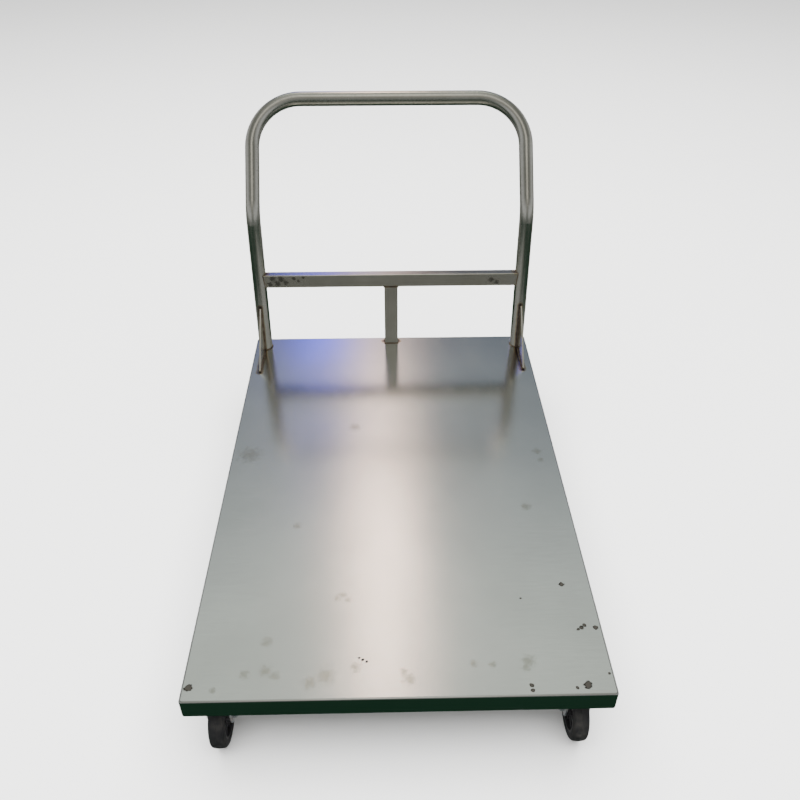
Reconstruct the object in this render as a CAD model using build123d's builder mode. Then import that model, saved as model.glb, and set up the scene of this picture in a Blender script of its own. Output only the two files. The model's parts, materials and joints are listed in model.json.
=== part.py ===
"""Stainless flatbed platform truck: folded deck, welded handle, two fixed and two swivel casters."""
from build123d import *
from build123d.topology import SkipClean
import os
from math import cos, isclose, radians, sin, sqrt, tan

os.makedirs("parts", exist_ok=True)

# ---------------------------------------------------------------- driving dimensions, mm and degrees
# Deck: one sheet folded down on four sides
deck_length = 1200
deck_width = 800
deck_height = 208           # floor to the load surface
sheet = 2
skirt_height = 44
fold_radius = 4             # outside of the folds
corner_radius = 6           # welded and ground vertical corners

# Rectangular tube stock, used for the frame, the crossbar and the post
bar_wide = 38
bar_thin = 25
bar_wall = 2
bar_corner = 3
rail_inset = 50             # centre of each rail to the deck's side edge
frame_gap = 2               # end of a frame tube to the inside of the skirt
end_member_inset = 30       # centre of the rear end member to the deck's back edge

# Handle: one round tube bent into a hoop and kinked back
tube_diameter = 38
tube_wall = 2
leg_inset = 30              # centre of each leg to the deck's side edge
foot_inset = 42             # centre of each foot to the deck's back edge
lower_lean = 6
kink_height = 400           # above the deck
kink_radius = 100
upper_lean = 38.5
upper_length = 310          # along the tube, kink to top bar
top_bend_radius = 130
crossbar_height = 190       # deck to the crossbar's underside

# Gussets in front of the handle's feet
gusset_thickness = 4
gusset_height = 134
gusset_reach = 115          # toe to the front of the tube
gusset_nose = 5             # blunt end at the toe and at the tip
gusset_outset = 2           # outboard of the leg's centre plane
load_area_gap = 6           # end of the load area to the gussets' toes

# Casters
wheel_diameter = 125
tyre_width = 32
tyre_depth = 16
tyre_shoulder = 7
front_caster_inset = 65     # plate centre to the deck's front edge
rear_caster_inset = 100     # swivel axis to the deck's back edge
pad_thickness = 4
pad_margin = 4              # pad beyond the caster plate, each side
plate_width = 85
plate_length = 100
plate_thickness = 4
plate_corner = 8
hole_spacing_x = 60
hole_spacing_y = 80
fork_gap = 40               # between the inner faces of the legs
fork_sheet = 3
fork_root = 56              # length of a leg where it meets the plate or the crown
fork_end_radius = 16
fork_fold = 3
trail = 38                  # swivel axis to axle

# Wheel core, bearing and axle
rim_depth = 5
rim_width = 29
web_thickness = 6
hub_wall = 4.5
rib_count = 8
rib_thickness = 3.5
rib_width = 22
bearing_wall = 4
bearing_recess = 1          # bearing's end below the hub's face
sleeve_wall = 2.3
axle_diameter = 8
axle_hole_clearance = 0.4   # on the diameter, sleeve and fork over the axle bolt
running_clearance = 0.05    # radial, bearing on sleeve, fork on king pin and pedal on its pin
side_clearance = 1          # wheel hub to each fork leg

# Swivel bearing
king_pin_diameter = 12
king_pin_head_diameter = 22
king_pin_head = 4
king_pin_chamfer = 1
crown_diameter = 62
crown_thickness = 4
crown_gap = 8               # top plate to crown
ball_diameter = 6
ball_count = 18
ball_circle = 46
race_width = 11
race_height = 3.2
turning_gap = 0.3           # between faces that pass each other
dust_ring_wall = 1.2
dust_ring_gap = 0.8

# Brake
brake_pin_diameter = 5
brake_pin_head = 9
brake_pin_head_height = 1.5
brake_pin_forward = 14      # ahead of the axle
brake_pin_above_tyre = 9    # over the tyre's surface
brake_barrel_diameter = 10
brake_side_gap = 2          # pedal to each fork leg
brake_sheet = 3
brake_travel = 12           # degrees from released to pressed
brake_arm_end = 82          # behind the pin
brake_tab_length = 32
brake_tab_drop = 24         # degrees
shoe_position = 36          # behind the pin
shoe_length = 10
shoe_gap = 0.4              # tyre to shoe with the pedal pressed

# Fasteners
bolt_diameter = 8
bolt_hole_clearance = 1     # on the diameter
hex_width = 13
hex_head = 5.3
nut_height = 6.8
washer_diameter = 15
washer_thickness = 1.6
bolt_end = 3                # thread standing out of a nut

# ---------------------------------------------------------------- places that follow from them
tube_radius = tube_diameter / 2
lower_slope = tan(radians(lower_lean))
kink_y = kink_height * lower_slope - foot_inset
top_bar_y = kink_y + upper_length * sin(radians(upper_lean))
top_bar_height = kink_height + upper_length * cos(radians(upper_lean))
deck_back = (deck_length - top_bar_y - tube_radius) / 2     # keeps the truck centred on Y = 0
deck_front = deck_back - deck_length
deck_middle = (deck_front + deck_back) / 2
leg_x = deck_width / 2 - leg_inset
foot_y = deck_back - foot_inset
gusset_toe_y = foot_y - tube_radius - gusset_reach
load_area_back = gusset_toe_y - load_area_gap
crossbar_middle = crossbar_height + bar_wide / 2
crossbar_y = foot_y + crossbar_middle * lower_slope

frame_top = deck_height - sheet
frame_middle = frame_top - bar_wide / 2
frame_bottom = frame_top - bar_wide
rail_x = deck_width / 2 - rail_inset
end_member_y = deck_back - end_member_inset
caster_top = frame_bottom - pad_thickness
plate_bottom = caster_top - plate_thickness
axle_height = wheel_diameter / 2
front_caster_y = deck_front + front_caster_inset
rear_caster_y = deck_back - rear_caster_inset
rear_axle_y = rear_caster_y + trail
crown_top = plate_bottom - crown_gap
crown_bottom = crown_top - crown_thickness
ball_height = plate_bottom - turning_gap - ball_diameter / 2

axle_hole_diameter = axle_diameter + axle_hole_clearance
sleeve_diameter = axle_hole_diameter + 2 * sleeve_wall
bearing_diameter = sleeve_diameter + 2 * bearing_wall
hub_diameter = bearing_diameter + 2 * hub_wall
hub_length = fork_gap - 2 * side_clearance
bearing_length = hub_length - 2 * bearing_recess
bolt_hole_diameter = bolt_diameter + bolt_hole_clearance

sides = {"left": -1, "right": 1}


def write(piece, name):
    """Label a finished piece and write its STEP file."""
    piece.part.label = name
    export_step(piece.part, f"parts/{name}.step")


def bar(plane, length, across, along):
    """A straight length of the rectangular tube, starting on a plane."""
    bore_corner = bar_corner - bar_wall
    with BuildPart() as tube:
        with BuildSketch(plane):
            RectangleRounded(across, along, bar_corner)
            RectangleRounded(across - 2 * bar_wall, along - 2 * bar_wall, bore_corner, mode=Mode.SUBTRACT)
        extrude(amount=length)
    return tube


def side_plane(x, y, z, turn=0):
    """A plane facing +X whose own x runs along +Y, or is turned up from it by an angle."""
    return Plane(origin=(x, y, z), x_dir=(0, cos(radians(turn)), sin(radians(turn))), z_dir=(1, 0, 0))


# ---------------------------------------------------------------- deck sheet
with BuildPart() as folded_sheet:
    with BuildSketch(Plane.XY.offset(deck_height - skirt_height)):
        with Locations((0, deck_middle)):
            RectangleRounded(deck_width, deck_length, corner_radius)
    extrude(amount=skirt_height)
    fillet(folded_sheet.faces().sort_by(Axis.Z)[-1].edges(), radius=fold_radius)
    offset(amount=-sheet, openings=folded_sheet.faces().sort_by(Axis.Z)[0])
    split(bisect_by=Plane.XZ.offset(-load_area_back), keep=Keep.BOTH)

# One sheet again, with an edge left across it where the load area ends, ahead of the gussets
with SkipClean(), BuildPart() as deck_sheet:
    for stretch in folded_sheet.solids():
        add(stretch, clean=False)
write(deck_sheet, "deck_sheet")

# ---------------------------------------------------------------- frame under the deck
rail_front = deck_front + sheet + frame_gap
rail_length = end_member_y - bar_thin / 2 - rail_front
for side, sign in sides.items():
    rail_start = Plane(origin=(sign * rail_x, rail_front, frame_middle), x_dir=(1, 0, 0), z_dir=(0, 1, 0))
    write(bar(rail_start, rail_length, bar_thin, bar_wide), f"{side}_frame_rail")

member_places = ["front", "front_middle", "rear_middle", "rear"]
member_pitch = (rear_caster_y - front_caster_y) / (len(member_places) - 1)
member_reach = rail_x - bar_thin / 2
for number, place in enumerate(member_places):
    member_start = side_plane(-member_reach, front_caster_y + number * member_pitch, frame_middle)
    write(bar(member_start, 2 * member_reach, bar_thin, bar_wide), f"{place}_cross_member")

end_reach = deck_width / 2 - sheet - frame_gap
end_member_start = side_plane(-end_reach, end_member_y, frame_middle)
write(bar(end_member_start, 2 * end_reach, bar_thin, bar_wide), "rear_end_member")


# ---------------------------------------------------------------- caster pads and their fasteners
def hole_places(caster_y):
    """The bolt centres of the two casters on one axle line."""
    return [
        (sign * rail_x + across * hole_spacing_x / 2, caster_y + along * hole_spacing_y / 2)
        for sign in sides.values()
        for across in (-1, 1)
        for along in (-1, 1)
    ]


for end, caster_y in {"front": front_caster_y, "rear": rear_caster_y}.items():
    with BuildPart() as pads:
        with BuildSketch(Plane.XY.offset(caster_top)):
            with Locations((-rail_x, caster_y), (rail_x, caster_y)):
                RectangleRounded(plate_width + 2 * pad_margin, plate_length + 2 * pad_margin, plate_corner)
            with Locations(*hole_places(caster_y)):
                Circle(bolt_hole_diameter / 2, mode=Mode.SUBTRACT)
        extrude(amount=pad_thickness)
    write(pads, f"{end}_caster_pads")

bolt_places = hole_places(front_caster_y) + hole_places(rear_caster_y)
nut_seat = frame_bottom + washer_thickness

with BuildPart() as caster_bolts:
    with BuildSketch(Plane.XY.offset(plate_bottom - hex_head)):
        with Locations(*bolt_places):
            RegularPolygon(hex_width / 2, 6, major_radius=False)
    extrude(amount=hex_head)
    with BuildSketch(Plane.XY.offset(plate_bottom)):
        with Locations(*bolt_places):
            Circle(bolt_diameter / 2)
    extrude(amount=nut_seat + nut_height + bolt_end - plate_bottom)
write(caster_bolts, "caster_bolts")

with BuildPart() as caster_lock_washers:
    with BuildSketch(Plane.XY.offset(frame_bottom)):
        with Locations(*bolt_places):
            Circle(washer_diameter / 2)
            Circle(bolt_diameter / 2, mode=Mode.SUBTRACT)
    extrude(amount=washer_thickness)
write(caster_lock_washers, "caster_lock_washers")

with BuildPart() as caster_nuts:
    with BuildSketch(Plane.XY.offset(nut_seat)):
        with Locations(*bolt_places):
            RegularPolygon(hex_width / 2, 6, major_radius=False)
            Circle(bolt_diameter / 2, mode=Mode.SUBTRACT)
    extrude(amount=nut_height)
write(caster_nuts, "caster_nuts")

# ---------------------------------------------------------------- handle
foot_drop = tube_diameter * lower_slope     # tube below the deck's surface, trimmed off again
handle_points = [
    (-leg_x, foot_y - foot_drop * lower_slope, deck_height - foot_drop),
    (-leg_x, deck_back + kink_y, deck_height + kink_height),
    (-leg_x, deck_back + top_bar_y, deck_height + top_bar_height),
    (leg_x, deck_back + top_bar_y, deck_height + top_bar_height),
    (leg_x, deck_back + kink_y, deck_height + kink_height),
    (leg_x, foot_y - foot_drop * lower_slope, deck_height - foot_drop),
]
handle_radii = [kink_radius, top_bend_radius, top_bend_radius, kink_radius]


def bent_tube(*radii):
    """The handle's route as a sweep of one circle, or of a ring where two radii are given."""
    with BuildPart() as hoop:
        with BuildLine():
            route = FilletPolyline(*handle_points, radius=handle_radii)
        with BuildSketch(Plane(origin=route @ 0, z_dir=route % 0)):
            Circle(radii[0])
            for bore in radii[1:]:
                Circle(bore, mode=Mode.SUBTRACT)
        sweep(path=route)
        split(bisect_by=Plane.XY.offset(deck_height), keep=Keep.TOP)
    return hoop


handle_outside = bent_tube(tube_radius)
write(bent_tube(tube_radius, tube_radius - tube_wall), "handle_tube")

crossbar_blank = bar(
    side_plane(-leg_x, crossbar_y, deck_height + crossbar_middle), 2 * leg_x, bar_thin, bar_wide
)
with BuildPart() as handle_crossbar:
    add(crossbar_blank.part)
    add(handle_outside.part, mode=Mode.SUBTRACT)
write(handle_crossbar, "handle_crossbar")

post_foot = Plane(origin=(0, crossbar_y, deck_height))
write(bar(post_foot, crossbar_height, bar_wide, bar_thin), "handle_post")

gusset_tip_y = foot_y + gusset_height * lower_slope
for side, sign in sides.items():
    gusset_x = sign * (leg_x + gusset_outset) - gusset_thickness / 2
    with BuildPart() as gusset:
        with BuildSketch(side_plane(gusset_x, 0, deck_height)):
            with BuildLine():
                Polyline(
                    (gusset_toe_y, 0),
                    (foot_y, 0),
                    (gusset_tip_y, gusset_height),
                    (gusset_tip_y - tube_radius - gusset_nose, gusset_height),
                    (gusset_toe_y, gusset_nose),
                    close=True,
                )
            make_face()
        extrude(amount=gusset_thickness)
        add(handle_outside.part, mode=Mode.SUBTRACT)
    write(gusset, f"{side}_gusset")


# ---------------------------------------------------------------- wheels
def wheel(name, x, y):
    """Tyre, moulded core and roller bearing of one wheel."""
    centre = side_plane(x, y, axle_height)
    tyre_bore = wheel_diameter / 2 - tyre_depth

    with BuildPart() as tyre:
        with BuildSketch(centre):
            Circle(wheel_diameter / 2)
            Circle(tyre_bore, mode=Mode.SUBTRACT)
        extrude(amount=tyre_width / 2, both=True)
        fillet(tyre.edges().filter_by(GeomType.CIRCLE).sort_by(SortBy.RADIUS)[-2:], radius=tyre_shoulder)
    write(tyre, f"{name}_tyre")

    with BuildPart() as wheel_core:
        with BuildSketch(centre):
            Circle(tyre_bore)
            Circle(tyre_bore - rim_depth, mode=Mode.SUBTRACT)
        extrude(amount=rim_width / 2, both=True)
        with BuildSketch(centre):
            Circle(tyre_bore - rim_depth)
        extrude(amount=web_thickness / 2, both=True)
        with BuildSketch(centre):
            with PolarLocations(0, rib_count):
                Rectangle(tyre_bore - rim_depth / 2, rib_thickness, align=(Align.MIN, Align.CENTER))
        extrude(amount=rib_width / 2, both=True)
        with BuildSketch(centre):
            Circle(hub_diameter / 2)
        extrude(amount=hub_length / 2, both=True)
        with BuildSketch(centre):
            Circle(bearing_diameter / 2)
        extrude(amount=fork_gap / 2, both=True, mode=Mode.SUBTRACT)
    write(wheel_core, f"{name}_wheel_core")

    with BuildPart() as bearing:
        with BuildSketch(centre):
            Circle(bearing_diameter / 2)
            Circle(sleeve_diameter / 2 + running_clearance, mode=Mode.SUBTRACT)
        extrude(amount=bearing_length / 2, both=True)
    write(bearing, f"{name}_roller_bearing")


def axle(name, x, y, sign):
    """Spacer sleeve, axle bolt with its head outboard, and nut of one wheel."""
    centre = side_plane(x, y, axle_height)
    outward = Plane(origin=(x, y, axle_height), x_dir=(0, sign, 0), z_dir=(sign, 0, 0))
    leg_face = fork_gap / 2 + fork_sheet

    with BuildPart() as sleeve:
        with BuildSketch(centre):
            Circle(sleeve_diameter / 2)
            Circle(axle_hole_diameter / 2, mode=Mode.SUBTRACT)
        extrude(amount=fork_gap / 2, both=True)
    write(sleeve, f"{name}_axle_sleeve")

    with BuildPart() as axle_bolt:
        with BuildSketch(outward.offset(leg_face)):
            RegularPolygon(hex_width / 2, 6, major_radius=False)
        extrude(amount=hex_head)
        with BuildSketch(outward.offset(leg_face)):
            Circle(axle_diameter / 2)
        extrude(amount=-(2 * leg_face + nut_height + bolt_end))
    write(axle_bolt, f"{name}_axle_bolt")

    with BuildPart() as axle_nut:
        with BuildSketch(outward.offset(-leg_face)):
            RegularPolygon(hex_width / 2, 6, major_radius=False)
            Circle(axle_diameter / 2, mode=Mode.SUBTRACT)
        extrude(amount=-nut_height)
    write(axle_nut, f"{name}_axle_nut")


def fork_leg_profile(root_y, root_z, holes):
    """One leg seen from the side: a web from the root to the rounded end at the axle, with its holes."""
    Circle(fork_end_radius)
    with Locations((root_y, root_z)):
        Rectangle(fork_root, fork_sheet)
    make_hull()
    for place, diameter in holes:
        with Locations(place):
            Circle(diameter / 2, mode=Mode.SUBTRACT)


def plate_outline(x, y):
    """The bolt-on plate of one caster, with its four holes."""
    with Locations((x, y)):
        RectangleRounded(plate_width, plate_length, plate_corner)
    with Locations((x, y)):
        with GridLocations(hole_spacing_x, hole_spacing_y, 2, 2):
            Circle(bolt_hole_diameter / 2, mode=Mode.SUBTRACT)


# ---------------------------------------------------------------- fixed casters at the front
for side, sign in sides.items():
    name = f"front_{side}"
    caster_x = sign * rail_x
    wheel(name, caster_x, front_caster_y)
    axle(name, caster_x, front_caster_y, sign)

    with BuildPart() as fork:
        with BuildSketch(Plane.XY.offset(plate_bottom)):
            plate_outline(caster_x, front_caster_y)
        extrude(amount=plate_thickness)
        root_height = plate_bottom - axle_height - fork_sheet / 2
        for leg_start in (-fork_gap / 2 - fork_sheet, fork_gap / 2):
            with BuildSketch(side_plane(caster_x + leg_start, front_caster_y, axle_height)):
                fork_leg_profile(0, root_height, [((0, 0), axle_hole_diameter)])
            extrude(amount=fork_sheet)
        long_edges = fork.edges().filter_by(Axis.Y)
        fillet(long_edges.filter_by(lambda edge: isclose(edge.length, fork_root)), radius=fork_fold)
    write(fork, f"{name}_fork")


# ---------------------------------------------------------------- swivel casters at the handle end
def swivel_mount(name, x, y):
    """The pieces that stay with the deck: top plate, king pin and dust ring."""
    with BuildPart() as top_plate:
        with BuildSketch(Plane.XY.offset(plate_bottom)):
            plate_outline(x, y)
            with Locations((x, y)):
                Circle(king_pin_diameter / 2, mode=Mode.SUBTRACT)
        extrude(amount=plate_thickness)
    write(top_plate, f"{name}_top_plate")

    with BuildPart() as king_pin:
        with BuildSketch(Plane.XY.offset(crown_bottom - turning_gap)):
            with Locations((x, y)):
                Circle(king_pin_head_diameter / 2)
        extrude(amount=-king_pin_head)
        chamfer(king_pin.edges().sort_by(Axis.Z)[0], length=king_pin_chamfer)
        with BuildSketch(Plane.XY.offset(crown_bottom - turning_gap)):
            with Locations((x, y)):
                Circle(king_pin_diameter / 2)
        extrude(amount=caster_top - crown_bottom + turning_gap)
    write(king_pin, f"{name}_king_pin")

    ring_bore = crown_diameter / 2 + dust_ring_gap
    with BuildPart() as dust_ring:
        with BuildSketch(Plane.XY.offset(plate_bottom)):
            with Locations((x, y)):
                Circle(ring_bore + dust_ring_wall)
                Circle(ring_bore, mode=Mode.SUBTRACT)
        extrude(amount=-(crown_gap - dust_ring_gap))
    write(dust_ring, f"{name}_dust_ring")


def swivel_fork(name, x, y, brake_pin):
    """The turning fork with its ball race, and the balls that run in it."""
    with BuildPart() as fork:
        with BuildSketch(Plane.XY.offset(crown_bottom)):
            with Locations((x, y)):
                Circle(crown_diameter / 2)
                Rectangle(fork_gap + 2 * fork_sheet, fork_root)
        extrude(amount=crown_thickness)
        with BuildSketch(Plane.XY.offset(crown_top)):
            with Locations((x, y)):
                Circle((ball_circle + race_width) / 2)
                Circle((ball_circle - race_width) / 2, mode=Mode.SUBTRACT)
        extrude(amount=race_height)
        for leg_start in (-fork_gap / 2 - fork_sheet, fork_gap / 2):
            with BuildSketch(side_plane(x + leg_start, y + trail, axle_height)):
                leg_holes = [((0, 0), axle_hole_diameter), (brake_pin, brake_pin_diameter)]
                fork_leg_profile(-trail, crown_bottom - axle_height + fork_sheet / 2, leg_holes)
            extrude(amount=fork_sheet)
        with BuildSketch(Plane.XY.offset(crown_bottom)):
            with Locations((x, y)):
                Circle(king_pin_diameter / 2 + running_clearance)
        extrude(amount=crown_thickness, mode=Mode.SUBTRACT)
        with BuildSketch(Plane(origin=(x, y, 0), x_dir=(1, 0, 0), z_dir=(0, -1, 0))):
            with Locations((ball_circle / 2, ball_height)):
                Circle(ball_diameter / 2 + running_clearance)
        revolve(axis=Axis((x, y, 0), (0, 0, 1)), mode=Mode.SUBTRACT)
    write(fork, f"{name}_fork")

    with BuildPart() as balls:
        with Locations((x, y, ball_height)):
            with PolarLocations(ball_circle / 2, ball_count):
                Sphere(ball_diameter / 2)
    write(balls, f"{name}_swivel_balls")


def brake(name, x, axle_y, pin):
    """The foot pedal with its shoe, drawn pressed and turned up to its released place, and its pin."""
    pin_y, pin_z = pin
    pin_centre = side_plane(x, axle_y + pin_y, axle_height + pin_z)
    released = side_plane(x, axle_y + pin_y, axle_height + pin_z, brake_travel)
    arm_level = brake_barrel_diameter / 2 - brake_sheet

    with BuildPart() as pedal:
        with BuildSketch(released):
            with Locations((shoe_position, arm_level)):
                Rectangle(shoe_length, arm_level + pin_z, align=(Align.CENTER, Align.MAX))
            with Locations((-pin_y, -pin_z)):
                Circle(wheel_diameter / 2 + shoe_gap, mode=Mode.SUBTRACT)
            Circle(brake_barrel_diameter / 2)
            with Locations((0, arm_level)):
                Rectangle(brake_arm_end, brake_sheet, align=(Align.MIN, Align.MIN))
            with Locations(Location((brake_arm_end, arm_level + brake_sheet), -brake_tab_drop)):
                Rectangle(brake_tab_length, brake_sheet, align=(Align.MIN, Align.MAX))
            Circle(brake_pin_diameter / 2 + running_clearance, mode=Mode.SUBTRACT)
        extrude(amount=fork_gap / 2 - brake_side_gap, both=True)
    write(pedal, f"{name}_brake_pedal")

    with BuildPart() as brake_pin:
        with BuildSketch(pin_centre):
            Circle(brake_pin_diameter / 2)
        extrude(amount=fork_gap / 2 + fork_sheet + brake_pin_head_height, both=True)
        for face in (-1, 1):
            with BuildSketch(pin_centre.offset(face * (fork_gap / 2 + fork_sheet))):
                Circle(brake_pin_head / 2)
            extrude(amount=face * brake_pin_head_height)
    write(brake_pin, f"{name}_brake_pin")


brake_pin_place = (
    -brake_pin_forward,
    sqrt((wheel_diameter / 2) ** 2 - brake_pin_forward ** 2) + brake_pin_above_tyre,
)
for side, sign in sides.items():
    name = f"rear_{side}"
    caster_x = sign * rail_x
    wheel(name, caster_x, rear_axle_y)
    axle(name, caster_x, rear_axle_y, sign)
    swivel_mount(name, caster_x, rear_caster_y)
    swivel_fork(name, caster_x, rear_caster_y, brake_pin_place)
    brake(name, caster_x, rear_axle_y, brake_pin_place)
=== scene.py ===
import bpy
import json
import math
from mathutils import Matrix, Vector


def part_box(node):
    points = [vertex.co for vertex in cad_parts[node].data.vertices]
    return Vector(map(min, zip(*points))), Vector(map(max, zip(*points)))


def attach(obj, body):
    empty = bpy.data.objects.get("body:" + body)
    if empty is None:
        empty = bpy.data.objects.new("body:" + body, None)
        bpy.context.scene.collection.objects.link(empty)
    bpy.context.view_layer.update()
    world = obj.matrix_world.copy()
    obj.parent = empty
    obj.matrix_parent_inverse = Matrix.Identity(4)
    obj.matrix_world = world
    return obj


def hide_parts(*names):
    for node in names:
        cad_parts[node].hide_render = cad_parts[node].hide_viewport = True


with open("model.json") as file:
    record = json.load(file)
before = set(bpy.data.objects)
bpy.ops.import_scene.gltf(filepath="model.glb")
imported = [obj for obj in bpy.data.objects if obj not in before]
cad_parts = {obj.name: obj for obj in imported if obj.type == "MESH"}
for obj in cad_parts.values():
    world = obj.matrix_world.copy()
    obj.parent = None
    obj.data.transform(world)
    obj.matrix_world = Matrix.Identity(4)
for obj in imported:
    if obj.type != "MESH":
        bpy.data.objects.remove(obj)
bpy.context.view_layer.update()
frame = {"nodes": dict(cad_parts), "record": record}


# ---------------------------------------------------------------- deck sheet
# One sheet of brushed stainless, folded down on four sides, with its corners welded and ground.
# It carries scuffs, greasy smudges, burnt specks of weld spatter, and heat tint where the handle
# is welded on.
deck_low, deck_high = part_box("deck_sheet")
deck_top = deck_high.z


def shader_tree(name):
    """A new material, its node tree and its shader node."""
    material = bpy.data.materials.new(name)
    material.use_nodes = True
    tree = material.node_tree
    return material, tree, tree.nodes["Principled BSDF"]


def put(tree, kind, settings=None, **sockets):
    """One node with its settings, and its inputs set to a value or joined to another node's output."""
    made = tree.nodes.new("ShaderNode" + kind)
    for key, value in (settings or {}).items():
        setattr(made, key, value)
    for key, value in sockets.items():
        socket = made.inputs[int(key[1:])] if key[0] == "_" else made.inputs[key.replace("_", " ")]
        if isinstance(value, bpy.types.NodeSocket):
            tree.links.new(value, socket)
        else:
            socket.default_value = value
    return made


def sums(tree, operation, *values):
    """A Math node on up to three values."""
    sockets = {f"_{i}": value for i, value in enumerate(values)}
    return put(tree, "Math", {"operation": operation}, **sockets).outputs[0]


def spread(tree, value, low, high, to_low, to_high):
    """A value mapped smoothly from one range to another, and held at its ends."""
    return put(tree, "MapRange", {"interpolation_type": "SMOOTHSTEP"},
               _0=value, _1=low, _2=high, _3=to_low, _4=to_high).outputs[0]


def grain(tree, place, scale, detail=3.0, roughness=0.55, stretch=(1, 1, 1)):
    """Noise over the piece's own metres, stretched along its axes."""
    mapped = put(tree, "Mapping", None, Vector=place, Scale=stretch).outputs[0]
    noise = put(tree, "TexNoise", None, Vector=mapped, Scale=scale, Detail=detail, Roughness=roughness)
    return noise.outputs[0]


def blended(tree, amount, first, second):
    """One colour over another by an amount."""
    made = put(tree, "Mix", {"data_type": "RGBA"})
    for socket, value in ((made.inputs[0], amount), (made.inputs[6], first), (made.inputs[7], second)):
        if isinstance(value, bpy.types.NodeSocket):
            tree.links.new(value, socket)
        else:
            socket.default_value = value
    return made.outputs[2]


def own_metres(tree):
    """The piece's own coordinates, in metres."""
    return put(tree, "TexCoord").outputs["Object"]


def near(tree, place, start, end, reach):
    """1 on a straight seam from start to end, and 0 from reach away."""
    length = max(math.dist(start, end), 1e-6)
    line = [(b - a) / length for a, b in zip(start, end)]
    away = put(tree, "VectorMath", {"operation": "SUBTRACT"}, _0=place, _1=start).outputs[0]
    along = put(tree, "VectorMath", {"operation": "DOT_PRODUCT"}, _0=away, _1=line).outputs[1]
    held = put(tree, "Clamp", None, _0=along, _1=0.0, _2=length).outputs[0]
    foot = put(tree, "VectorMath", {"operation": "SCALE"}, _0=line, Scale=held).outputs[0]
    gap = put(tree, "VectorMath", {"operation": "DISTANCE"}, _0=away, _1=foot).outputs[1]
    return spread(tree, gap, 0.0, reach, 1.0, 0.0)


def most(tree, values):
    """The largest of some values."""
    top = values[0]
    for value in values[1:]:
        top = sums(tree, "MAXIMUM", top, value)
    return top


def heat_tint(tree, place, base, seams, reach):
    """Straw, brown and blue bands on steel around its welds, broken up a little."""
    heat = most(tree, [near(tree, place, start, end, reach) for start, end in seams])
    ragged = grain(tree, place, 90.0, 2.0)
    heat = sums(tree, "MULTIPLY_ADD", sums(tree, "SUBTRACT", ragged, 0.5), 0.45, heat)
    ramp = put(tree, "ValToRGB", None, Fac=heat)
    bands = [(0.34, (1, 1, 1, 1)), (0.52, (0.90, 0.82, 0.64, 1)), (0.68, (0.62, 0.50, 0.38, 1)),
             (0.80, (0.38, 0.34, 0.38, 1)), (0.94, (0.20, 0.16, 0.13, 1))]
    ramp.color_ramp.elements[0].position, ramp.color_ramp.elements[0].color = bands[0]
    ramp.color_ramp.elements[1].position, ramp.color_ramp.elements[1].color = bands[-1]
    for position, colour in bands[1:-1]:
        ramp.color_ramp.elements.new(position).color = colour
    tinted = put(tree, "Mix", {"data_type": "RGBA", "blend_type": "MULTIPLY"})
    tinted.inputs[0].default_value = 1.0
    tree.links.new(base, tinted.inputs[6])
    tree.links.new(ramp.outputs[0], tinted.inputs[7])
    return tinted.outputs[2], heat


def finish_node(name, material):
    """Give a carried-over piece its finish."""
    piece = frame["nodes"][name]
    piece.data.materials.clear()
    piece.data.materials.append(material)


top_bar = next(m for m in frame["record"]["mounts"] if m["name"] == "top_bar")
tube_radius = top_bar["dims"]["r_mm"] / 1000
tube_low, tube_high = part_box("handle_tube")
bar_low, bar_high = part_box("handle_crossbar")
post_low, post_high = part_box("handle_post")
leg_x = tube_high.x - tube_radius
foot_y = tube_low.y + tube_radius
crossbar_y = (bar_low.y + bar_high.y) / 2
crossbar_z = (bar_low.z + bar_high.z) / 2
lean = (crossbar_y - foot_y) / (crossbar_z - deck_top)

gusset_boxes = [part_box(f"{side}_gusset") for side in ("left", "right")]
spot_length = 0.001         # seams round a point have this length, so that they have a direction
deck_seams = [((side * leg_x, foot_y, deck_top), (side * leg_x, foot_y + spot_length, deck_top))
              for side in (-1, 1)]
deck_seams += [((g_low.x, g_low.y, deck_top), (g_low.x, g_high.y, deck_top))
               for g_low, g_high in gusset_boxes]
deck_seams += [((post_low.x, crossbar_y, deck_top), (post_high.x, crossbar_y, deck_top))]

# Burnt specks near the open end and along the right edge: x and y from the front left corner,
# and size, in metres
burnt_specks = [(0.014, 0.031, 0.0091), (0.746, 0.020, 0.0099), (0.726, 0.016, 0.0038),
                (0.643, 0.022, 0.0049), (0.643, 0.012, 0.0046), (0.740, 0.254, 0.0065),
                (0.760, 0.147, 0.0061), (0.752, 0.143, 0.0046), (0.787, 0.146, 0.0057),
                (0.791, 0.044, 0.0034), (0.332, 0.083, 0.0034), (0.325, 0.087, 0.0030),
                (0.339, 0.079, 0.0030), (0.650, 0.220, 0.0027), (0.766, 0.152, 0.0046)]
# Greasy smudges and shoe marks, the same way
smudges = [(0.319, 0.067, 0.016), (0.264, 0.050, 0.026), (0.235, 0.036, 0.020), (0.146, 0.126, 0.016),
           (0.113, 0.057, 0.014), (0.150, 0.062, 0.018), (0.169, 0.052, 0.014), (0.289, 0.236, 0.012),
           (0.278, 0.228, 0.010), (0.300, 0.226, 0.011), (0.419, 0.040, 0.018), (0.410, 0.056, 0.012),
           (0.540, 0.071, 0.012), (0.576, 0.068, 0.011), (0.644, 0.073, 0.020), (0.638, 0.060, 0.014),
           (0.755, 0.672, 0.016), (0.760, 0.640, 0.012), (0.301, 0.777, 0.022), (0.044, 0.674, 0.040),
           (0.059, 0.023, 0.009), (0.700, 0.480, 0.018), (0.180, 0.430, 0.014)]


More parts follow.
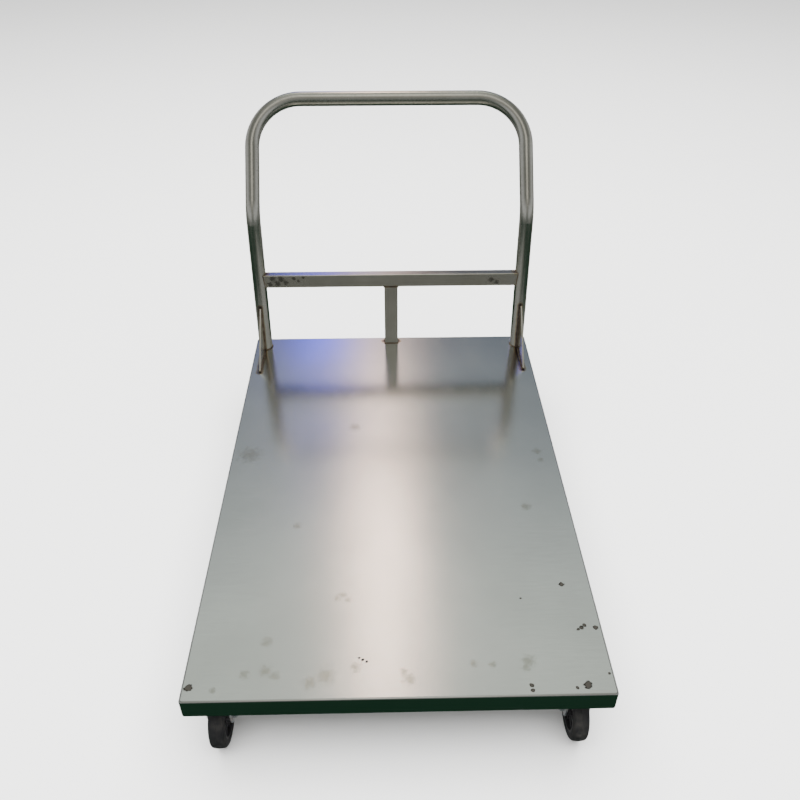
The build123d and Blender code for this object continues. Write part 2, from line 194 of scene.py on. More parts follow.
def spots(tree, place, marks, softness, ragged_by):
    """1 inside ragged marks on the deck's top."""
    ragged = sums(tree, "SUBTRACT", grain(tree, place, 110.0, 4.0, 0.65), 0.5)
    found = []
    for across, along, size in marks:
        centre = (deck_low.x + across, deck_low.y + along, deck_top)
        gap = put(tree, "VectorMath", {"operation": "DISTANCE"}, _0=place, _1=centre).outputs[1]
        gap = sums(tree, "MULTIPLY_ADD", ragged, size * ragged_by, gap)
        found.append(spread(tree, gap, size * (1 - softness), size, 1.0, 0.0))
    return most(tree, found)


def deck_finish():
    material, tree, shader = shader_tree("brushed_deck_stainless")
    place = own_metres(tree)
    clouds = grain(tree, place, 3.2, 4.0)
    strokes = grain(tree, place, 26.0, 5.0, 0.65, (1, 22, 1))
    wear = grain(tree, place, 15.0, 5.0, 0.6, (1, 0.35, 1))
    cloudy = spread(tree, clouds, 0.3, 0.7, 0.0, 1.0)
    pale = blended(tree, cloudy, (0.61, 0.615, 0.59, 1), (0.68, 0.685, 0.66, 1))
    pale = blended(tree, spread(tree, strokes, 0.35, 0.65, 0.0, 0.18), pale, (0.54, 0.54, 0.52, 1))
    tinted, _ = heat_tint(tree, place, pale, deck_seams, 0.020)
    burnt = spots(tree, place, burnt_specks, 0.5, 1.9)
    greasy = spots(tree, place, smudges, 1.0, 1.7)
    tinted = blended(tree, sums(tree, "MULTIPLY", greasy, 0.55), tinted, (0.31, 0.30, 0.23, 1))
    tinted = blended(tree, spread(tree, burnt, 0.0, 0.6, 0.0, 1.0), tinted, (0.022, 0.020, 0.016, 1))
    tree.links.new(tinted, shader.inputs["Base Color"])
    rough = sums(tree, "MULTIPLY_ADD", strokes, 0.05, 0.135)
    rough = sums(tree, "MULTIPLY_ADD", spread(tree, wear, 0.45, 0.75, 0.0, 1.0), 0.025, rough)
    rough = sums(tree, "MULTIPLY_ADD", greasy, 0.05, rough)
    rough = sums(tree, "MULTIPLY_ADD", burnt, 0.4, rough)
    tree.links.new(rough, shader.inputs["Roughness"])
    tree.links.new(spread(tree, burnt, 0.7, 0.98, 1.0, 0.2), shader.inputs["Metallic"])
    shader.inputs["Anisotropic"].default_value = 0.45
    lengthwise = put(tree, "CombineXYZ", None, _0=0.0, _1=1.0, _2=0.0).outputs[0]
    tree.links.new(lengthwise, shader.inputs["Tangent"])
    # The sheet is not quite flat: shallow waves, and a lift along the welded back edge, in metres of height
    waves = sums(tree, "MULTIPLY", grain(tree, place, 3.4, 1.0, 0.3), 0.0016)
    along = put(tree, "SeparateXYZ", None, _0=place).outputs[1]
    lift_start, lift_softness, lift_slope = deck_high.y - 0.40, 0.16, 0.022
    beyond = sums(tree, "SUBTRACT", along, lift_start)
    soft = sums(tree, "SQRT", sums(tree, "MULTIPLY_ADD", beyond, beyond, lift_softness ** 2))
    lift = sums(tree, "MULTIPLY", sums(tree, "ADD", beyond, soft), lift_slope / 2)
    sheet_form = put(tree, "Bump", None, Strength=1.0, Distance=1.0, Height=sums(tree, "ADD", waves, lift))
    fine = grain(tree, place, 420.0, 2.0, 0.6, (1, 18, 1))
    bump = put(tree, "Bump", None, Strength=0.035, Distance=0.0006, Height=fine,
               Normal=sheet_form.outputs[0])
    tree.links.new(bump.outputs[0], shader.inputs["Normal"])
    return material


finish_node("deck_sheet", deck_finish())


# ---------------------------------------------------------------- handle hoop
# Round stainless tube, bent in one piece, with a satin polish gone dull in patches.
# The feet, and the places where the crossbar and the gussets meet it, are straw, brown and blue
# from welding.
def leg_line(side, height):
    """A point on a leg's centre line at a height above the deck."""
    return (side * leg_x, foot_y + lean * height, deck_top + height)


gusset_height = gusset_boxes[0][1].z - deck_top
crossbar_height = crossbar_z - deck_top
joint_half_height = 0.012   # heat reaches this far up and down a leg from the crossbar's middle
tube_seams = [(leg_line(side, 0.0), leg_line(side, 2 * spot_length)) for side in (-1, 1)]
tube_seams += [(leg_line(side, crossbar_height - joint_half_height),
                leg_line(side, crossbar_height + joint_half_height)) for side in (-1, 1)]
tube_seams += [((g_low.x, foot_y - tube_radius, deck_top),
                (g_low.x, foot_y - tube_radius + lean * gusset_height, deck_top + gusset_height))
               for g_low, g_high in gusset_boxes]


def tube_finish(name, seams, reach, stretch):
    material, tree, shader = shader_tree(name)
    place = own_metres(tree)
    clouds = grain(tree, place, 9.0, 4.0)
    strokes = grain(tree, place, 140.0, 3.0, 0.5, stretch)
    cloudy = spread(tree, clouds, 0.3, 0.7, 0.0, 1.0)
    pale = blended(tree, cloudy, (0.57, 0.56, 0.50, 1), (0.65, 0.64, 0.58, 1))
    pale = blended(tree, spread(tree, strokes, 0.45, 0.75, 0.0, 0.25), pale, (0.46, 0.45, 0.40, 1))
    tinted, heat = heat_tint(tree, place, pale, seams, reach)
    tree.links.new(tinted, shader.inputs["Base Color"])
    rough = sums(tree, "MULTIPLY_ADD", strokes, 0.06, 0.19)
    rough = sums(tree, "MULTIPLY_ADD", spread(tree, clouds, 0.4, 0.8, 0.0, 1.0), 0.06, rough)
    rough = sums(tree, "MULTIPLY_ADD", spread(tree, heat, 0.4, 0.9, 0.0, 1.0), 0.15, rough)
    tree.links.new(rough, shader.inputs["Roughness"])
    shader.inputs["Metallic"].default_value = 1.0
    fine = grain(tree, place, 500.0, 2.0, 0.6, stretch)
    bump = put(tree, "Bump", None, Strength=0.02, Distance=0.0003, Height=fine)
    tree.links.new(bump.outputs[0], shader.inputs["Normal"])
    return material


finish_node("handle_tube", tube_finish("satin_tube_stainless", tube_seams, 0.017, (1, 1, 1)))

# ---------------------------------------------------------------- crossbar, post and gussets
# Rectangular stainless tube between the legs, a short post of the same stock under its middle,
# and two thin plates in front of the feet, all welded. The crossbar's ends are burnt brown and dirty.
bar_end = leg_x - tube_radius
bar_seams = [((side * bar_end, crossbar_y, bar_low.z), (side * bar_end, crossbar_y, bar_high.z))
             for side in (-1, 1)]
bar_seams += [((post_low.x, crossbar_y, bar_low.z), (post_high.x, crossbar_y, bar_low.z))]
# Dark hand and weld grime on the crossbar's front: distance from its left end, height and size
bar_marks = [(0.018, 0.012, 0.010), (0.026, 0.030, 0.011), (0.038, 0.014, 0.012), (0.050, 0.028, 0.012),
             (0.062, 0.016, 0.010), (0.085, 0.029, 0.007), (0.098, 0.022, 0.006), (0.112, 0.032, 0.006),
             (0.640, 0.020, 0.010), (0.655, 0.012, 0.009)]


def grime_on(material, marks):
    """Lay ragged dark marks over a finish's colour, and dull it there."""
    tree = material.node_tree
    shader = tree.nodes["Principled BSDF"]
    place = own_metres(tree)
    ragged = sums(tree, "SUBTRACT", grain(tree, place, 210.0, 3.0, 0.65), 0.5)
    found = []
    for across, up, size in marks:
        centre = (bar_low.x + across, bar_low.y, bar_low.z + up)
        gap = put(tree, "VectorMath", {"operation": "DISTANCE"}, _0=place, _1=centre).outputs[1]
        gap = sums(tree, "MULTIPLY_ADD", ragged, size * 2.6, gap)
        found.append(spread(tree, gap, size * 0.4, size, 0.75, 0.0))
    grime = most(tree, found)
    colour = shader.inputs["Base Color"].links[0].from_socket
    dull = shader.inputs["Roughness"].links[0].from_socket
    tree.links.new(blended(tree, grime, colour, (0.10, 0.09, 0.07, 1)), shader.inputs["Base Color"])
    tree.links.new(sums(tree, "MULTIPLY_ADD", grime, 0.2, dull), shader.inputs["Roughness"])


bar_finish = tube_finish("satin_bar_stainless", bar_seams, 0.022, (0.05, 1, 1))
grime_on(bar_finish, bar_marks)
finish_node("handle_crossbar", bar_finish)

post_seams = [((post_low.x, crossbar_y, z), (post_high.x, crossbar_y, z)) for z in (deck_top, bar_low.z)]
finish_node("handle_post", tube_finish("satin_post_stainless", post_seams, 0.020, (1, 1, 0.05)))

gusset_seams = tube_seams[4:] + deck_seams[2:4]
gusset_finish = tube_finish("satin_gusset_stainless", gusset_seams, 0.012, (1, 0.1, 1))
for side in ("left", "right"):
    finish_node(f"{side}_gusset", gusset_finish)

# ---------------------------------------------------------------- weld beads
# Every joint is a hand-laid TIG seam: small overlapping ripples of filler, browned by the heat.
# The ripples follow each seam round the feet, the post, the gussets, the crossbar's ends and the
# frame's joints.
def ripple_tree():
    """Geometry nodes that lay overlapping ripples along a piece's edges."""
    tree = bpy.data.node_groups.new("weld_ripples", "GeometryNodeTree")
    sockets = {}
    for name, kind in (("Seams", "Geometry"), ("Pitch", "Float"), ("Radius", "Float"), ("Seed", "Int"),
                       ("Filler", "Material")):
        made = tree.interface.new_socket(name, in_out="INPUT", socket_type=f"NodeSocket{kind}")
        sockets[name] = made.identifier
    tree.interface.new_socket("Bead", in_out="OUTPUT", socket_type="NodeSocketGeometry")

    def step(kind, **settings):
        made = tree.nodes.new(kind)
        for key, value in settings.items():
            setattr(made, key, value)
        return made

    given, result = step("NodeGroupInput"), step("NodeGroupOutput")
    curve = step("GeometryNodeMeshToCurve")
    tree.links.new(given.outputs["Seams"], curve.inputs[0])
    places = step("GeometryNodeResampleCurve", mode="LENGTH")
    tree.links.new(curve.outputs[0], places.inputs["Curve"])
    tree.links.new(given.outputs["Pitch"], places.inputs["Length"])
    drop = step("GeometryNodeMeshIcoSphere")
    drop.inputs["Radius"].default_value = 1.0
    drop.inputs["Subdivisions"].default_value = 2
    turned = step("FunctionNodeAlignRotationToVector", axis="Y")
    tree.links.new(step("GeometryNodeInputTangent").outputs[0], turned.inputs["Vector"])
    uneven = step("FunctionNodeRandomValue", data_type="FLOAT")
    uneven.inputs[2].default_value, uneven.inputs[3].default_value = 0.82, 1.12
    tree.links.new(given.outputs["Seed"], uneven.inputs["Seed"])
    size = step("ShaderNodeMath", operation="MULTIPLY")
    tree.links.new(uneven.outputs[1], size.inputs[0])
    tree.links.new(given.outputs["Radius"], size.inputs[1])
    laid = step("GeometryNodeInstanceOnPoints")
    tree.links.new(places.outputs[0], laid.inputs["Points"])
    tree.links.new(drop.outputs[0], laid.inputs["Instance"])
    tree.links.new(turned.outputs[0], laid.inputs["Rotation"])
    tree.links.new(size.outputs[0], laid.inputs["Scale"])
    real = step("GeometryNodeRealizeInstances")
    tree.links.new(laid.outputs[0], real.inputs[0])
    smooth = step("GeometryNodeSetShadeSmooth")
    tree.links.new(real.outputs[0], smooth.inputs[0])
    painted = step("GeometryNodeSetMaterial")
    tree.links.new(smooth.outputs[0], painted.inputs[0])
    tree.links.new(given.outputs["Filler"], painted.inputs["Material"])
    tree.links.new(painted.outputs[0], result.inputs[0])
    return tree, sockets


def filler_finish():
    material, tree, shader = shader_tree("weld_filler")
    place = own_metres(tree)
    heat = put(tree, "ValToRGB", None, Fac=grain(tree, place, 60.0, 4.0, 0.7))
    heat.color_ramp.elements[0].position, heat.color_ramp.elements[0].color = 0.32, (0.10, 0.075, 0.06, 1)
    heat.color_ramp.elements[1].position, heat.color_ramp.elements[1].color = 0.72, (0.50, 0.48, 0.44, 1)
    heat.color_ramp.elements.new(0.52).color = (0.30, 0.23, 0.16, 1)
    tree.links.new(heat.outputs[0], shader.inputs["Base Color"])
    shader.inputs["Metallic"].default_value = 1.0
    shader.inputs["Roughness"].default_value = 0.36
    return material


ripples, ripple_inputs = ripple_tree()
filler = filler_finish()


def lay_welds(name, seams, pitch, radius, seed):
    """One piece with the beads of several seams, each a list of points."""
    points, edges = [], []
    for seam in seams:
        edges += [(len(points) + i, len(points) + i + 1) for i in range(len(seam) - 1)]
        points += [tuple(p) for p in seam]
    mesh = bpy.data.meshes.new(name + "_seams")
    mesh.from_pydata(points, edges, [])
    holder = bpy.data.objects.new(name + "_seams", mesh)
    bpy.context.scene.collection.objects.link(holder)
    bead = holder.modifiers.new("bead", "NODES")
    bead.node_group = ripples
    for key, value in (("Pitch", pitch), ("Radius", radius), ("Seed", seed), ("Filler", filler)):
        bead[ripple_inputs[key]] = value
    laid = bpy.data.meshes.new_from_object(holder.evaluated_get(bpy.context.evaluated_depsgraph_get()))
    bpy.data.objects.remove(holder)
    laid.name = name
    piece = bpy.data.objects.new(name, laid)
    bpy.context.scene.collection.objects.link(piece)
    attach(piece, "truck")


def ring(centre, radius, count=48):
    """Points round a level circle, closed."""
    return [(centre[0] + radius * math.cos(2 * math.pi * i / count),
             centre[1] + radius * math.sin(2 * math.pi * i / count), centre[2]) for i in range(count + 1)]


def frame_round(x_low, x_high, y_low, y_high, z):
    """The four corners of a level rectangle, closed."""
    corners = [(x_low, y_low, z), (x_high, y_low, z), (x_high, y_high, z), (x_low, y_high, z)]
    return corners + corners[:1]


def cope_seam(side):
    """Round the crossbar's end where it meets the leg's curved side."""
    half_y, half_z = (bar_high.y - bar_low.y) / 2, (bar_high.z - bar_low.z) / 2
    corners = [(-half_y, -half_z), (half_y, -half_z), (half_y, half_z), (-half_y, half_z)]
    seam, steps = [], 8
    for (y_from, z_from), (y_to, z_to) in zip(corners, corners[1:] + corners[:1]):
        for i in range(steps):
            y = y_from + (y_to - y_from) * i / steps
            z = z_from + (z_to - z_from) * i / steps
            reach = math.sqrt(tube_radius ** 2 - (y - lean * z) ** 2)
            seam.append((side * (leg_x - reach), crossbar_y + y, crossbar_z + z))
    return seam + seam[:1]


bead = 0.0016               # radius of the filler on the handle
tip_gap = 0.004             # end of a gusset's seam to the gusset's tip
handle_seams = []
for side in (-1, 1):
    foot_ring = ring((side * leg_x, foot_y, deck_top + bead / 2), tube_radius + bead / 2)
    handle_seams += [foot_ring, cope_seam(side)]
for g_low, g_high in gusset_boxes:
    for x in (g_low.x - bead / 3, g_high.x + bead / 3):
        toe = (x, g_low.y + bead, deck_top + bead / 3)
        root = (x, foot_y - tube_radius, deck_top + bead / 3)
        tip_height = gusset_height - tip_gap
        tip = (x, foot_y + lean * tip_height - tube_radius, deck_top + tip_height)
        handle_seams.append([toe, root, tip])
for z in (deck_top + bead / 3, bar_low.z - bead / 3):
    handle_seams.append(frame_round(post_low.x - bead / 2, post_high.x + bead / 2,
                                    post_low.y - bead / 2, post_high.y + bead / 2, z))
lay_welds("handle_welds", handle_seams, 0.0015, bead, 3)

frame_bead = 0.0022         # radius of the filler on the frame
frame_seams = []
rails = [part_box(f"{side}_frame_rail") for side in ("left", "right")]
members = [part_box(f"{name}_cross_member") for name in ("front", "front_middle", "rear_middle", "rear")]
for m_low, m_high in members:
    for x in (m_low.x, m_high.x):
        under_sheet = m_high.z - frame_bead
        frame_seams.append([(x, m_low.y, under_sheet), (x, m_low.y, m_low.z),
                            (x, m_high.y, m_low.z), (x, m_high.y, under_sheet)])
stitch, stitch_gap = 0.040, 0.160
for r_low, r_high in rails:
    under_sheet = r_high.z - frame_bead     # the filler stays below the sheet's top
    frame_seams.append([(r_low.x, r_high.y, under_sheet), (r_low.x, r_high.y, r_low.z),
                        (r_high.x, r_high.y, r_low.z), (r_high.x, r_high.y, under_sheet)])
    for x in (r_low.x, r_high.x):
        start = r_low.y + stitch
        while start + stitch < r_high.y:
            frame_seams.append([(x, start, under_sheet), (x, start + stitch, under_sheet)])
            start += stitch + stitch_gap
lay_welds("frame_welds", frame_seams, 0.0026, frame_bead, 8)

# ---------------------------------------------------------------- frame under the deck
# Rails, cross members, end member and caster pads of mill-finish stainless, welded in a ladder.
no_seams = [((0, 0, 0), (0, 0, spot_length))]      # a spot on the floor, out of the steel's reach
frame_finish = tube_finish("mill_frame_stainless", no_seams, 0.01, (1, 0.2, 1))
for name in ("left_frame_rail", "right_frame_rail", "front_cross_member", "front_middle_cross_member",
             "rear_middle_cross_member", "rear_cross_member", "rear_end_member",
             "front_caster_pads", "rear_caster_pads"):
    finish_node(name, frame_finish)


# ---------------------------------------------------------------- caster steel
# Forks, top plates, dust rings and pedals are pressed steel with bright zinc plate, browned and
# dusty in use.
# Bolts, nuts, washers, pins and sleeves are plated too, and a little duller.
def zinc_finish(name, tone, dirt):
    material, tree, shader = shader_tree(name)
    place = own_metres(tree)
    spangle = put(tree, "TexVoronoi", None, Vector=place, Scale=220.0).outputs["Color"]
    shade = put(tree, "SeparateColor", None, _0=spangle).outputs[0]
    pale = blended(tree, sums(tree, "MULTIPLY", shade, 0.5), [v * tone for v in (0.66, 0.67, 0.69)] + [1],
                   [v * tone for v in (0.54, 0.56, 0.60)] + [1])
    grime = spread(tree, grain(tree, place, 30.0, 6.0, 0.7), 0.42, 0.72, 0.0, dirt)
    tree.links.new(blended(tree, grime, pale, (0.16, 0.115, 0.075, 1)), shader.inputs["Base Color"])
    tree.links.new(sums(tree, "MULTIPLY_ADD", grime, 0.45, 0.28), shader.inputs["Roughness"])
    tree.links.new(sums(tree, "MULTIPLY_ADD", grime, -0.7, 1.0), shader.inputs["Metallic"])
    return material


plated = zinc_finish("zinc_plate", 1.0, 0.75)
plated_small = zinc_finish("zinc_fastener", 0.88, 0.6)
pedal_steel = zinc_finish("zinc_pedal", 0.95, 0.5)
bearing_steel = zinc_finish("greased_bearing_steel", 0.6, 0.9)
for name in ("caster_bolts", "caster_lock_washers", "caster_nuts"):
    finish_node(name, plated_small)
for end in ("front", "rear"):
    for side in ("left", "right"):
        caster = f"{end}_{side}"
        finish_node(f"{caster}_fork", plated)
        finish_node(f"{caster}_roller_bearing", bearing_steel)
        for part in ("axle_bolt", "axle_nut", "axle_sleeve"):
            finish_node(f"{caster}_{part}", plated_small)
for side in ("left", "right"):
    caster = f"rear_{side}"
    for part, material in (("top_plate", plated), ("dust_ring", plated), ("king_pin", plated_small),
                           ("swivel_balls", bearing_steel), ("brake_pin", plated_small),
                           ("brake_pedal", pedal_steel)):
        finish_node(f"{caster}_{part}", material)


# ---------------------------------------------------------------- tyres and wheel cores
# Black rubber tyres, greyed by patches of dust, bonded to dark moulded nylon cores with ribs.
# Each tyre is lathed: a crowned tread with the mould's parting line, round shoulders, and a raised
# ring on each sidewall.
def rubber_finish():
    material, tree, shader = shader_tree("black_tyre_rubber")
    place = own_metres(tree)
    dust = spread(tree, grain(tree, place, 45.0, 6.0, 0.7), 0.40, 0.75, 0.0, 0.55)
    dusty = blended(tree, dust, (0.008, 0.008, 0.009, 1), (0.040, 0.036, 0.030, 1))
    tree.links.new(dusty, shader.inputs["Base Color"])
    tree.links.new(sums(tree, "MULTIPLY_ADD", dust, 0.3, 0.55), shader.inputs["Roughness"])
    fine = grain(tree, place, 700.0, 3.0)
    bump = put(tree, "Bump", None, Strength=0.25, Distance=0.0006, Height=fine)
    tree.links.new(bump.outputs[0], shader.inputs["Normal"])
    return material


def nylon_finish():
    material, tree, shader = shader_tree("moulded_nylon")
    place = own_metres(tree)
    dust = spread(tree, grain(tree, place, 60.0, 5.0, 0.6), 0.45, 0.8, 0.0, 0.4)
    dusty = blended(tree, dust, (0.022, 0.022, 0.024, 1), (0.06, 0.055, 0.048, 1))
    tree.links.new(dusty, shader.inputs["Base Color"])
    tree.links.new(sums(tree, "MULTIPLY_ADD", dust, 0.25, 0.42), shader.inputs["Roughness"])
    return material


rubber = rubber_finish()
nylon = nylon_finish()
shoulder_radius = 0.0065
crown = 0.0010              # drop of the tread from its middle to the shoulders
parting_rise, parting_half = 0.0003, 0.0006
ring_rise, ring_half, ring_above_rim = 0.0005, 0.0013, 0.0050
around = 120                # steps round a tyre
shoulder_steps = 8


def tyre_side(half_width, inner, outer):
    """Half of a tyre's section from the rim to the parting line: distance from the middle, radius."""
    wall = half_width - ring_rise
    ring_middle = inner + ring_above_rim
    section = [(wall, inner), (wall, ring_middle - ring_half), (half_width, ring_middle - ring_half / 2),
               (half_width, ring_middle + ring_half / 2), (wall, ring_middle + ring_half)]
    tread_edge = wall - shoulder_radius
    edge_radius = outer - parting_rise - crown
    for step in range(shoulder_steps + 1):
        turn = math.radians(90 * step / shoulder_steps)
        section.append((tread_edge + shoulder_radius * math.cos(turn),
                        edge_radius - shoulder_radius + shoulder_radius * math.sin(turn)))
    for part in (0.75, 0.5, 0.25):
        section.append((tread_edge * part, edge_radius + crown * (1 - part ** 2)))
    return section + [(parting_half, outer - parting_rise), (parting_half / 3, outer)]


def lathed_tyre(name, body):
    """A tyre turned from its section, in place of the plain one."""
    low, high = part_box(name)
    rim_low, rim_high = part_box(name.replace("tyre", "wheel_core"))
    half_width = (high.x - low.x) / 2
    half = tyre_side(half_width, (rim_high.z - rim_low.z) / 2, (high.z - low.z) / 2)
    section = half + [(-x, radius) for x, radius in reversed(half)]
    middle = (low + high) / 2
    points, faces, count = [], [], len(section)
    for i in range(around):
        turn = 2 * math.pi * i / around
        points += [(middle.x + x, middle.y + radius * math.sin(turn), middle.z - radius * math.cos(turn))
                   for x, radius in section]
        after = (i + 1) % around
        for j in range(count):
            beyond = (j + 1) % count
            faces.append((i * count + j, i * count + beyond, after * count + beyond, after * count + j))
    mesh = bpy.data.meshes.new(name + "_rubber")
    mesh.from_pydata(points, [], faces)
    mesh.materials.append(rubber)
    mesh.shade_smooth()
    mesh.set_sharp_from_angle(angle=math.radians(35))
    piece = bpy.data.objects.new(name + "_rubber", mesh)
    bpy.context.scene.collection.objects.link(piece)
    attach(piece, body)
    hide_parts(name)


for end in ("front", "rear"):
    for side in ("left", "right"):
        lathed_tyre(f"{end}_{side}_tyre", f"{end}_{side}_wheel")
        finish_node(f"{end}_{side}_wheel_core", nylon)


# ---------------------------------------------------------------- floor, cards, lights and camera
# A pale floor and soft light from a wide ceiling, a tall window straight ahead, and a small blue lamp
# to its left. Reflections show hidden cards in place of the floor: dark green in front of the truck,
# beside it and round its handle end, and grey elsewhere.
def panel(name, centre, width, height, facing, material):
    """A flat card of a size, turned to face a direction."""
    half_w, half_h = width / 2, height / 2
    turn = Vector(facing).to_track_quat("Z", "Y").to_matrix().to_4x4()
    turn.translation = Vector(centre)
    corners = [turn @ Vector(c) for c in ((-half_w, -half_h, 0), (half_w, -half_h, 0),
                                         (half_w, half_h, 0), (-half_w, half_h, 0))]
    mesh = bpy.data.meshes.new(name)
    mesh.from_pydata([tuple(c) for c in corners], [], [(0, 1, 2, 3)])
    mesh.materials.append(material)
    card = bpy.data.objects.new(name, mesh)
    bpy.context.scene.collection.objects.link(card)
    return card


floor_paint, tree, shader = shader_tree("pale_floor")
shader.inputs["Base Color"].default_value = (0.86, 0.86, 0.85, 1)
shader.inputs["Roughness"].default_value = 0.9
floor = panel("floor", (0, 0, 0), 60, 60, (0, 0, 1), floor_paint)
floor.visible_glossy = False


def hidden_card(name, centre, width, depth, colour):
    """A card below the floor, of one brightness, that only reflections show."""
    paint, tree, shader = shader_tree(name)
    tree.nodes.remove(shader)
    even = put(tree, "Emission", None, Color=colour, Strength=1.0).outputs[0]
    tree.links.new(even, tree.nodes["Material Output"].inputs["Surface"])
    card = panel(name, centre, width, depth, (0, 0, 1), paint)
    card.visible_camera = False
    card.visible_diffuse = False
    card.visible_shadow = False


hidden_card("grey_card", (0, 0, -0.004), 60, 60, (0.21, 0.215, 0.21, 1))
workshop_green = (0.013, 0.040, 0.023, 1)
hidden_card("front_green_card", (0, -2.4, -0.002), 4.6, 3.4, workshop_green)
hidden_card("handle_green_card", (0, 0.75, -0.002), 1.6, 0.6, workshop_green)
for side in (-1, 1):
    hidden_card("side_green_card", (side * 2.1, 0.1, -0.002), 2.0, 1.6, workshop_green)


def glow_over(tree, place, centre, half_sizes):
    """1 at a place on the window card, fading smoothly to 0 round it."""
    away = put(tree, "VectorMath", {"operation": "SUBTRACT"}, _0=place, _1=centre).outputs[0]
    away = put(tree, "VectorMath", {"operation": "DIVIDE"}, _0=away, _1=half_sizes).outputs[0]
    square = put(tree, "VectorMath", {"operation": "DOT_PRODUCT"}, _0=away, _1=away).outputs[1]
    return sums(tree, "EXPONENT", sums(tree, "MULTIPLY", square, -1.0))


# The tall window ahead, with soft edges, and the blue lamp beside it: only polished faces pick them up
card_y = 3.3
card_middle = 4.6
no_end = 60.0               # a glow this tall has no visible top or bottom
window_foot, window_head = 1.9, 4.4
window_light, tree, shader = shader_tree("window_light")
tree.nodes.remove(shader)
place = own_metres(tree)
above_floor = put(tree, "SeparateXYZ", None, _0=place).outputs[2]
beam = glow_over(tree, place, (-0.08, card_y, card_middle), (0.24, 1.0, no_end))
beam = sums(tree, "MULTIPLY", beam, spread(tree, above_floor, window_foot, window_head, 1.0, 5.6))
haze = glow_over(tree, place, (-0.20, card_y, card_middle), (0.75, 1.0, no_end))
haze = sums(tree, "MULTIPLY", haze, spread(tree, above_floor, window_foot, window_head, 0.02, 0.30))
lamp = sums(tree, "MULTIPLY", glow_over(tree, place, (-0.47, card_y, 2.14), (0.24, 1.0, 0.26)), 3.2)
veil = sums(tree, "MULTIPLY", glow_over(tree, place, (-0.50, card_y, 2.65), (0.34, 1.0, 0.85)), 0.36)
joined = None
for strength, colour in ((beam, (1.0, 0.71, 0.57, 1)), (haze, (1.0, 0.90, 0.88, 1)),
                         (lamp, (0.02, 0.04, 1.0, 1)), (veil, (0.25, 0.20, 1.0, 1))):
    shine = put(tree, "Emission", None, Color=colour, Strength=strength).outputs[0]
    joined = shine if joined is None else put(tree, "AddShader", None, _0=joined, _1=shine).outputs[0]
clear = put(tree, "BsdfTransparent").outputs[0]
joined = put(tree, "AddShader", None, _0=joined, _1=clear).outputs[0]
tree.links.new(joined, tree.nodes["Material Output"].inputs["Surface"])
window = panel("window_card", (0, card_y, 4.0), 5.0, 6.4, (0, -1, 0), window_light)
window.visible_camera = False
window.visible_diffuse = False
window.visible_shadow = False


def soft_light(name, place, aim, width, height, power, colour):
    """A soft rectangular light aimed at a point."""
    data = bpy.data.lights.new(name, "AREA")
    data.shape = "RECTANGLE"
    data.size, data.size_y = width, height
    data.energy = power
    data.color = colour
    lamp = bpy.data.objects.new(name, data)
    lamp.location = place
    lamp.rotation_euler = (Vector(aim) - Vector(place)).to_track_quat("-Z", "Y").to_euler()
    lamp.visible_camera = False
    bpy.context.scene.collection.objects.link(lamp)
    return lamp


ceiling = soft_light("ceiling", (0.0, 0.0, 5.0), (0.0, 0.0, 0.0), 7, 7, 1500, (1.0, 1.0, 1.0))
ceiling.visible_glossy = False

world = bpy.data.worlds.new("studio")
bpy.context.scene.world = world
world.use_nodes = True
tree = world.node_tree
sky = tree.nodes["Background"]
heading = put(tree, "TexCoord").outputs["Generated"]
across, along, rise = put(tree, "SeparateXYZ", None, _0=heading).outputs
height = sums(tree, "MULTIPLY_ADD", rise, 0.5, 0.5)
turned = sums(tree, "ARCTAN2", sums(tree, "ABSOLUTE", across), along)


def room_wall(steps):
    """The brightness of one side of the room, from the floor up to overhead."""
    ramp = put(tree, "ValToRGB", None, Fac=height).color_ramp
    ramp.elements[0].position, ramp.elements[0].color = steps[0]
    ramp.elements[1].position, ramp.elements[1].color = steps[-1]
    for position, colour in steps[1:-1]:
        ramp.elements.new(position).color = colour
    return tree.nodes[-1].outputs[0]


overhead = (1.0, (0.52, 0.54, 0.50, 1))
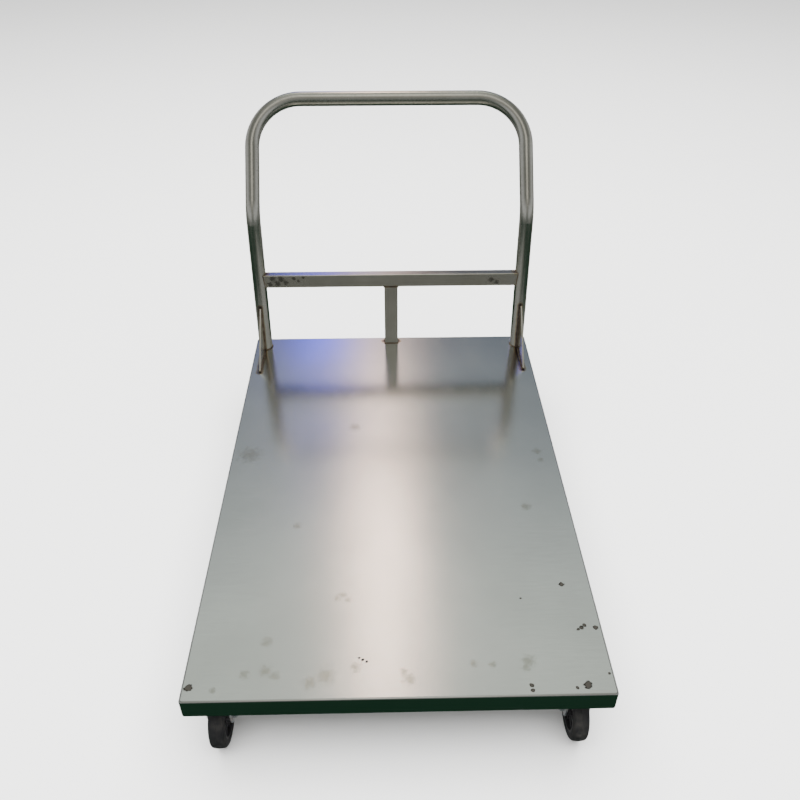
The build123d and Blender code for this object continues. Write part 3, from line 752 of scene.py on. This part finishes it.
# Ahead, a dark band between a grey wall and a bright ceiling; behind, a dim wall under ceiling lamps;
# beside, walls that are light low down and darker above
ahead = room_wall([(0.0, (0.02, 0.05, 0.03, 1)), (0.49, (0.20, 0.21, 0.21, 1)),
                   (0.53, (0.38, 0.39, 0.40, 1)), (0.64, (0.32, 0.33, 0.35, 1)),
                   (0.73, (0.07, 0.08, 0.125, 1)), (0.78, (0.12, 0.145, 0.215, 1)),
                   (0.81, (0.32, 0.365, 0.41, 1)), (0.91, (0.88, 0.95, 0.88, 1)), overhead])
behind = room_wall([(0.0, (0.02, 0.05, 0.03, 1)), (0.49, (0.12, 0.14, 0.13, 1)),
                    (0.62, (0.25, 0.255, 0.25, 1)), (0.80, (0.30, 0.30, 0.28, 1)),
                    (0.90, (0.62, 0.60, 0.55, 1)), (0.955, (1.45, 1.42, 1.32, 1)),
                    (0.98, (1.3, 1.28, 1.2, 1)), overhead])
beside = room_wall([(0.0, (0.05, 0.06, 0.05, 1)), (0.49, (0.22, 0.23, 0.23, 1)),
                    (0.54, (0.55, 0.56, 0.57, 1)), (0.70, (0.50, 0.51, 0.52, 1)),
                    (0.78, (0.34, 0.345, 0.34, 1)), (0.86, (0.16, 0.165, 0.155, 1)),
                    (0.95, (0.24, 0.245, 0.23, 1)), overhead])
room = blended(tree, spread(tree, turned, 0.45, 0.8, 0.0, 1.0), ahead, beside)
room = blended(tree, spread(tree, turned, 2.6, 3.0, 0.0, 1.0), room, behind)
path = put(tree, "LightPath")
seen = blended(tree, path.outputs["Is Glossy Ray"], (0.92, 0.92, 0.92, 1), room)
tree.links.new(seen, sky.inputs[0])
sky.inputs[1].default_value = 1.0

camera_data = bpy.data.cameras.new("camera")
camera_data.lens = 35.83
camera_data.sensor_width = 36
camera = bpy.data.objects.new("camera", camera_data)
eye_aside, eye_back, eye_up = -0.017, 0.815, 1.302     # from the middle of the deck's front edge
looks_down, looks_right = 37.38, 1.23                   # degrees
camera.location = (eye_aside, deck_low.y - eye_back, deck_top + eye_up)
camera.rotation_euler = (math.radians(90 - looks_down), 0, math.radians(-looks_right))
bpy.context.scene.collection.objects.link(camera)
bpy.context.scene.camera = camera
